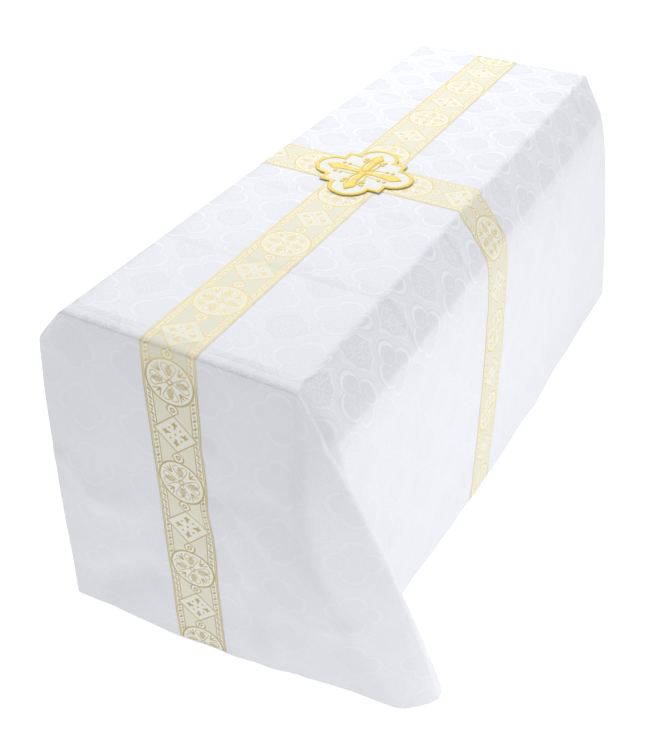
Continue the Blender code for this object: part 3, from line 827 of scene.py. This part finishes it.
badge_cloth, inputs, place = new_finish("badge cloth", Sheen_Weight=0.1)
plug(
    inputs,
    Base_Color=place.grain(70.0, 3.0).tint((0.70, 0.71, 0.665), (0.755, 0.765, 0.73)),
    Roughness=0.7 + 0.1 * place.grain(40.0),
    relief=place.grain(1300.0, 1.0) * 0.00012,
)
bm = bmesh.new()
bm.faces.new([bm.verts.new((*point, BADGE_FLOOR)) for point in badge_outline(BADGE_INSET)])
bm.normal_update()
badge = add_piece("badge", bm, badge_cloth, BADGE_THICKNESS, 1.0)
badge.data.shade_flat()
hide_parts("emblem")

gold_thread, inputs, place = new_finish(
    "gold thread", "UV", Sheen_Weight=0.15, Sheen_Roughness=0.3, Specular_IOR_Level=0.6
)
along_form, across_form = place.split()
threads = (along_form * 6900.0).math("SINE", along_form * 6900.0 + across_form * 2200.0)
uneven = place.grain(45.0, 3.0, (1.0, 0.35, 1.0))
plug(
    inputs,
    Base_Color=(uneven * 1.3 + threads * 0.12 - 0.15).tint((0.66, 0.46, 0.03), (0.93, 0.74, 0.15)),
    Roughness=0.36 + 0.14 * uneven,
    relief=threads * 0.00003 + uneven * 0.0002,
)

# The padded edge's cross-section: how far in from the outline, and how high over the stitches' floor.
Ring = namedtuple("Ring", "inset height")
PADDED_EDGE = [
    Ring(0.0000, -0.0011), Ring(0.0000, 0.0003), Ring(0.0009, 0.0013), Ring(0.0027, 0.0021),
    Ring(0.0053, 0.0024), Ring(0.0079, 0.0020), Ring(0.0097, 0.0012), Ring(0.0106, -0.0001),
]
bm = bmesh.new()
place_on = bm.loops.layers.uv.new("stitches")
outlines = [badge_outline(ring.inset) for ring in PADDED_EDGE]
rings = [
    [bm.verts.new((*point, STITCH_FLOOR + ring.height)) for point in outline]
    for ring, outline in zip(PADDED_EDGE, outlines)
]
outer = outlines[0] + outlines[0][:1]
length = [0.0]
for p, q in zip(outer, outer[1:]):
    length.append(length[-1] + (q - p).length)
for r, lower in enumerate(rings):
    upper = rings[(r + 1) % len(rings)]
    for k in range(len(lower)):
        n = (k + 1) % len(lower)
        face = bm.faces.new((lower[k], lower[n], upper[n], upper[k]))
        widths = [PADDED_EDGE[r].inset, PADDED_EDGE[(r + 1) % len(rings)].inset]
        for loop, (at, width) in zip(face.loops, [(k, 0), (k + 1, 0), (k + 1, 1), (k, 1)]):
            loop[place_on].uv = (length[at], widths[width])
bm.normal_update()
edge = add_piece("badge_edge", bm, gold_thread)

# Half a cross-section of a stitched form, as shares of its half-width and its height.
DOME = [(1.0, -0.25), (0.97, 0.35), (0.75, 0.75), (0.42, 0.94), (0.0, 1.0)]
SECTION = [(-side, rise) for side, rise in DOME] + DOME[-2::-1]


def stitched_form(bm, uv, stations, height):
    """A low domed form through stations of x, y and half-width, closed underneath."""
    rows, reach = [], [0.0]
    for i, (x, y, half) in enumerate(stations):
        before, after = stations[max(0, i - 1)], stations[min(len(stations) - 1, i + 1)]
        ahead = Vector((after[0] - before[0], after[1] - before[1])).normalized()
        aside = Vector((ahead.y, -ahead.x))
        rise = height * min(1.0, half / 0.004)
        rows.append([
            bm.verts.new((
                EMBLEM_CENTRE[0] + x + aside.x * side * half,
                EMBLEM_CENTRE[1] + y + aside.y * side * half,
                STITCH_FLOOR + level * rise,
            ))
            for side, level in SECTION
        ])
        if i:
            reach.append(reach[-1] + math.dist((x, y), stations[i - 1][:2]))
    count = len(SECTION)
    for i, (lower, upper) in enumerate(zip(rows, rows[1:])):
        for k in range(count):
            n = (k + 1) % count
            face = bm.faces.new((lower[n], lower[k], upper[k], upper[n]))
            for loop, (row, col) in zip(face.loops, [(0, n), (0, k), (1, k), (1, n)]):
                loop[uv].uv = (reach[i + row], SECTION[col][0] * stations[i + row][2])
    bm.faces.new(rows[0])
    bm.faces.new(rows[-1][::-1])


# Half of each form of the cross, in millimetres: the blades along both axes, then the thin stems
# beside them, then the buds at the stems' ends. "across" lies along the cross band.
Blade = namedtuple("Blade", "away half")
BLADES = {
    "across": [
        Blade(0, 10.5), Blade(25, 9.5), Blade(50, 11), Blade(68, 14), Blade(82, 18), Blade(95, 9),
        Blade(107, 0.4),
    ],
    "along": [
        Blade(0, 9.5), Blade(30, 9), Blade(55, 10), Blade(72, 13), Blade(85, 17), Blade(98, 8),
        Blade(112, 0.4),
    ],
}
Stem = namedtuple("Stem", "away aside half")
STEMS = {
    "across": [
        Stem(11, 12, 1.8), Stem(20, 19, 2.0), Stem(32, 22.5, 2.0), Stem(45, 23, 1.8),
        Stem(56, 22, 1.2),
    ],
    "along": [
        Stem(8, 7, 2.0), Stem(20, 14.5, 2.6), Stem(38, 19.0, 3.2), Stem(56, 18, 3.2),
        Stem(74, 14, 2.0),
    ],
}
Bud = namedtuple("Bud", "away aside length half")
BUDS = {
    "across": [Bud(54, 26, 13, 4.8), Bud(69, 26, 15, 5.6)],
    "along": [Bud(57, 25, 11, 5.4), Bud(71, 26, 13, 6.6)],
}
BLADE_HEIGHT = {"across": 0.0028, "along": 0.0036}
STEM_HEIGHT, BUD_HEIGHT = 0.0030, 0.0026


def spot(axis, sign, away, aside):
    """A place of one arm of the cross, in metres from its middle."""
    at = (sign * away * 0.001, aside * 0.001)
    return at if axis == "across" else (-at[1], at[0])


bm = bmesh.new()
place_on = bm.loops.layers.uv.new("stitches")
for axis in ("across", "along"):
    for sign in (-1, 1):
        rows = BLADES[axis]
        fine = [curve_through(rows, i / 4) for i in range(4 * len(rows) - 7)] + [rows[-1]]
        stations = [(*spot(axis, sign, away, 0), max(0.4, half) * 0.001) for away, half in fine]
        stitched_form(bm, place_on, stations, BLADE_HEIGHT[axis])
        for side in (-1, 1):
            rows = STEMS[axis]
            fine = [curve_through(rows, i / 4) for i in range(4 * len(rows) - 3)]
            stations = [
                (*spot(axis, sign, away, side * aside), half * 0.001) for away, aside, half in fine
            ]
            stitched_form(bm, place_on, stations, STEM_HEIGHT)
            for bud in BUDS[axis]:
                stations = []
                for turn in [math.pi * i / 8 for i in range(9)]:
                    aside = side * (bud.aside - bud.length / 2 * math.cos(turn))
                    half = max(0.3, bud.half * math.sin(turn)) * 0.001
                    stations.append((*spot(axis, sign, bud.away, aside), half))
                stitched_form(bm, place_on, stations, BUD_HEIGHT)
bm.normal_update()
cross = add_piece("badge_cross", bm, gold_thread)

# A plain white floor and plain soft studio light, seen from where the photograph was taken. The
# photograph is bright and plain in tone, so the picture keeps the light's values as they fall.

FLOOR_HALF_SIZE = 9.0
FLOOR_GLOW, WORLD_GLOW = 0.84, 0.60

bm = bmesh.new()
bmesh.ops.create_grid(bm, x_segments=2, y_segments=2, size=FLOOR_HALF_SIZE)
mesh = bpy.data.meshes.new("floor")
bm.to_mesh(mesh)
bm.free()
floor = bpy.data.objects.new("floor", mesh)
bpy.context.scene.collection.objects.link(floor)
paper, inputs, place = new_finish(
    "white paper", Roughness=0.9, Emission_Color=(1, 1, 1, 1), Emission_Strength=FLOOR_GLOW
)
plug(inputs, Base_Color=place.grain(3.0).tint((0.24, 0.24, 0.24), (0.26, 0.26, 0.26)))
mesh.materials.append(paper)

camera = bpy.data.objects.new("camera", bpy.data.cameras.new("camera"))
bpy.context.scene.collection.objects.link(camera)
bpy.context.scene.camera = camera
camera.data.sensor_width = 36.0
camera.data.lens = 47.957
camera.location = (0.9861, -2.1737, 2.0434)
AZIMUTH, ELEVATION, ROLL = math.radians(27.763), math.radians(37.271), math.radians(0.929)
camera.rotation_euler = (
    Matrix.Rotation(AZIMUTH, 3, "Z")
    @ Matrix.Rotation(math.pi / 2 - ELEVATION, 3, "X")
    @ Matrix.Rotation(ROLL, 3, "Z")
).to_euler()

Lamp = namedtuple("Lamp", "name place target size power")
LAMPS = [
    Lamp("overhead", (-1.7, 2.2, 4.2), (-1.1, 1.1, 0), (4.6, 4.6), 188),
    Lamp("side", (2.4, 0.2, 0.35), (0.38, 0.2, 0.45), (2.6, 0.5), 12.0),
    Lamp("corner", (3.1, -1.5, 0.3), (0.3, -0.9, 0.4), (0.9, 0.5), 15.5),
    Lamp("foot", (-0.05, -1.75, 0.10), (-0.05, -0.93, 0.15), (1.0, 0.25), 0.9),
]
for lamp in LAMPS:
    light = bpy.data.objects.new(lamp.name, bpy.data.lights.new(lamp.name, "AREA"))
    light.data.shape = "RECTANGLE"
    light.data.size, light.data.size_y = lamp.size
    light.data.energy = lamp.power
    light.location = lamp.place
    light.rotation_euler = (Vector(lamp.place) - Vector(lamp.target)).to_track_quat("Z", "Y").to_euler()
    bpy.context.scene.collection.objects.link(light)
world = bpy.data.worlds.new("studio")
bpy.context.scene.world = world
world.use_nodes = True
world.node_tree.nodes["Background"].inputs["Color"].default_value = (1, 1, 1, 1)
world.node_tree.nodes["Background"].inputs["Strength"].default_value = WORLD_GLOW
bpy.context.scene.view_settings.view_transform = "Standard"
